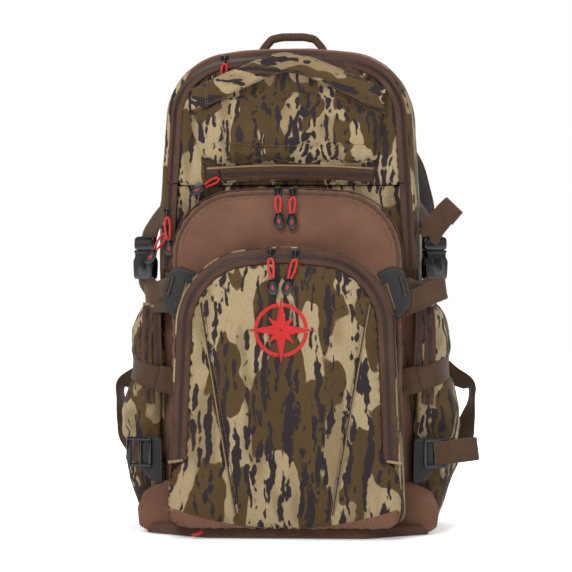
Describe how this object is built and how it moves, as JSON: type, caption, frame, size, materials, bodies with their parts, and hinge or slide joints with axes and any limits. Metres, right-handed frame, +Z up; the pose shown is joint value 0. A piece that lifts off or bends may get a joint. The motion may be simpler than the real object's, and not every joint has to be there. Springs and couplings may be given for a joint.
{
  "type": "hunting backpack",
  "caption": "Panel-loading day backpack with fold-down lid, zipped front pocket, side pockets, compression straps, buckles and padded shoulder straps.",
  "frame": {"origin": "centre of the base panel on the ground", "axes": "+Z up along the bag, -Y towards the front pocket, +X to the right seen from the front"},
  "size_m": [0.41, 0.2508, 0.548],
  "materials": {
    "camo_fabric": null,
    "brown_nylon": "brown ballistic nylon, diagonal basket weave",
    "zip_tape": "woven zip tape with nylon coil",
    "webbing": "ribbed polypropylene webbing",
    "hypalon": "matte moulded patch",
    "buckle_plastic": "acetal, semi gloss",
    "slider_metal": "black enamelled zinc",
    "pull_rubber": "soft moulded rubber",
    "red_cord": "braided cord",
    "mesh_padding": "air mesh over foam, brown nylon edge",
    "sheet_plastic": "HDPE sheet"
  },
  "bodies": {
    "pack": {"base_panel": "brown_nylon", "back_wall": "brown_nylon", "bag_gusset": "camo_fabric", "lower_front_wall": "brown_nylon", "frame_sheet": "sheet_plastic", "main_zip_body_tape": "zip_tape", "middle_pocket": "brown_nylon", "middle_pocket_zip": "zip_tape", "front_pocket_pouch": "camo_fabric", "front_zip_fixed_tape": "zip_tape", "front_pocket_base": "camo_fabric", "hypalon_tabs": "hypalon", "side_pocket_left": "camo_fabric", "side_pocket_right": "camo_fabric", "side_pocket_zips": "zip_tape", "compression_straps_left": "webbing", "compression_straps_right": "webbing", "lower_ladder_locks": "buckle_plastic", "buckle_female_left": "buckle_plastic", "buckle_female_right": "buckle_plastic", "back_pads": "mesh_padding", "shoulder_webbing_left": "webbing", "shoulder_webbing_right": "webbing"},
    "lid": {"lid_panel": "camo_fabric", "stuff_pocket": "camo_fabric", "hood_band": "camo_fabric", "main_zip_lid_tape": "zip_tape", "upper_pocket_zip": "zip_tape"},
    "front_panel": {"front_pocket_panel": "camo_fabric", "front_zip_panel_tape": "zip_tape"},
    "handle": {"grab_handle": "webbing"},
    "strap_left": {"shoulder_strap_left": "mesh_padding"},
    "strap_right": {"shoulder_strap_right": "mesh_padding"},
    "buckle_left": {"buckle_male_left": "buckle_plastic"},
    "buckle_right": {"buckle_male_right": "buckle_plastic"},
    "slide_main_upper": {"slider_main_upper": "slider_metal"},
    "pull_main_upper": {"pull_cord_main_upper": "red_cord", "pull_tab_main_upper": "pull_rubber"},
    "slide_main_lower": {"slider_main_lower": "slider_metal"},
    "pull_main_lower": {"pull_cord_main_lower": "red_cord", "pull_tab_main_lower": "pull_rubber"},
    "slide_upper_pocket": {"slider_upper_pocket": "slider_metal"},
    "pull_upper_pocket": {"pull_cord_upper_pocket": "red_cord", "pull_tab_upper_pocket": "pull_rubber"},
    "slide_middle_left": {"slider_middle_left": "slider_metal"},
    "pull_middle_left": {"pull_cord_middle_left": "red_cord", "pull_tab_middle_left": "pull_rubber"},
    "slide_middle_right": {"slider_middle_right": "slider_metal"},
    "pull_middle_right": {"pull_cord_middle_right": "red_cord", "pull_tab_middle_right": "pull_rubber"},
    "slide_front_left": {"slider_front_left": "slider_metal"},
    "pull_front_left": {"pull_cord_front_left": "red_cord", "pull_tab_front_left": "pull_rubber"},
    "slide_front_right": {"slider_front_right": "slider_metal"},
    "pull_front_right": {"pull_cord_front_right": "red_cord", "pull_tab_front_right": "pull_rubber"},
    "slide_top": {"slider_top": "slider_metal", "pull_cord_top": "red_cord", "pull_tab_top": "pull_rubber"}
  },
  "joints": [
    {"name": "lid_fold", "type": "hinge", "parent": "pack", "child": "lid", "pos_m": [0, -0.041, 0.376], "axis": [1, 0, 0], "range_deg": [0, 90]},
    {"name": "front_pocket_fold", "type": "hinge", "parent": "pack", "child": "front_panel", "pos_m": [0, -0.104, 0.08], "axis": [1, 0, 0], "range_deg": [0, 90]},
    {"name": "handle_rock", "type": "hinge", "parent": "pack", "child": "handle", "pos_m": [0, 0.062, 0.5245], "axis": [1, 0, 0], "range_deg": [-10, 10], "stiffness_Nm_per_rad": 0.2},
    {"name": "strap_left_swing", "type": "hinge", "parent": "pack", "child": "strap_left", "pos_m": [0, 0.101, 0.476], "axis": [1, 0, 0], "range_deg": [0, 45]},
    {"name": "buckle_left_release", "type": "slide", "parent": "pack", "child": "buckle_left", "axis": [0, 0, 1], "range_m": [0, 0.025]},
    {"name": "strap_right_swing", "type": "hinge", "parent": "pack", "child": "strap_right", "pos_m": [0, 0.101, 0.476], "axis": [1, 0, 0], "range_deg": [0, 45]},
    {"name": "buckle_right_release", "type": "slide", "parent": "pack", "child": "buckle_right", "axis": [0, 0, 1], "range_m": [0, 0.025]},
    {"name": "zip_main_upper", "type": "slide", "parent": "pack", "child": "slide_main_upper", "axis": [0.0559, 0, 0.9984], "range_m": [0, 0.095]},
    {"name": "pull_main_upper_swing", "type": "hinge", "parent": "slide_main_upper", "child": "pull_main_upper", "pos_m": [-0.1315, -0.037, 0.3415], "axis": [-1, 0, 0], "range_deg": [0, 80]},
    {"name": "zip_main_lower", "type": "slide", "parent": "pack", "child": "slide_main_lower", "axis": [0.0559, 0, 0.9984], "range_m": [0, 0.006]},
    {"name": "pull_main_lower_swing", "type": "hinge", "parent": "slide_main_lower", "child": "pull_main_lower", "pos_m": [-0.134, -0.033, 0.3235], "axis": [-1, 0, 0], "range_deg": [0, 30]},
    {"name": "zip_upper_pocket", "type": "slide", "parent": "lid", "child": "slide_upper_pocket", "axis": [1, 0, 0], "range_m": [0, 0.14]},
    {"name": "pull_upper_pocket_swing", "type": "hinge", "parent": "slide_upper_pocket", "child": "pull_upper_pocket", "pos_m": [-0.075, -0.0355, 0.3835], "axis": [-1, 0, 0], "range_deg": [0, 30]},
    {"name": "zip_middle_left", "type": "slide", "parent": "pack", "child": "slide_middle_left", "axis": [-1, 0, 0], "range_m": [0, 0.04]},
    {"name": "pull_middle_left_swing", "type": "hinge", "parent": "slide_middle_left", "child": "pull_middle_left", "pos_m": [-0.009, -0.0695, 0.3635], "axis": [-1, 0, 0], "range_deg": [0, 80]},
    {"name": "zip_middle_right", "type": "slide", "parent": "pack", "child": "slide_middle_right", "axis": [1, 0, 0], "range_m": [0, 0.04]},
    {"name": "pull_middle_right_swing", "type": "hinge", "parent": "slide_middle_right", "child": "pull_middle_right", "pos_m": [0.007, -0.0695, 0.3625], "axis": [-1, 0, 0], "range_deg": [0, 80]},
    {"name": "zip_front_left", "type": "slide", "parent": "front_panel", "child": "slide_front_left", "axis": [-1, 0, 0], "range_m": [0, 0.035]},
    {"name": "pull_front_left_swing", "type": "hinge", "parent": "slide_front_left", "child": "pull_front_left", "pos_m": [-0.014, -0.114, 0.2975], "axis": [-1, 0, 0], "range_deg": [0, 80]},
    {"name": "zip_front_right", "type": "slide", "parent": "front_panel", "child": "slide_front_right", "axis": [1, 0, 0], "range_m": [0, 0.035]},
    {"name": "pull_front_right_swing", "type": "hinge", "parent": "slide_front_right", "child": "pull_front_right", "pos_m": [0.012, -0.1085, 0.2965], "axis": [-1, 0, 0], "range_deg": [0, 80]},
    {"name": "zip_top", "type": "slide", "parent": "lid", "child": "slide_top", "axis": [1, 0, 0], "range_m": [0, 0.06]}
  ]
}
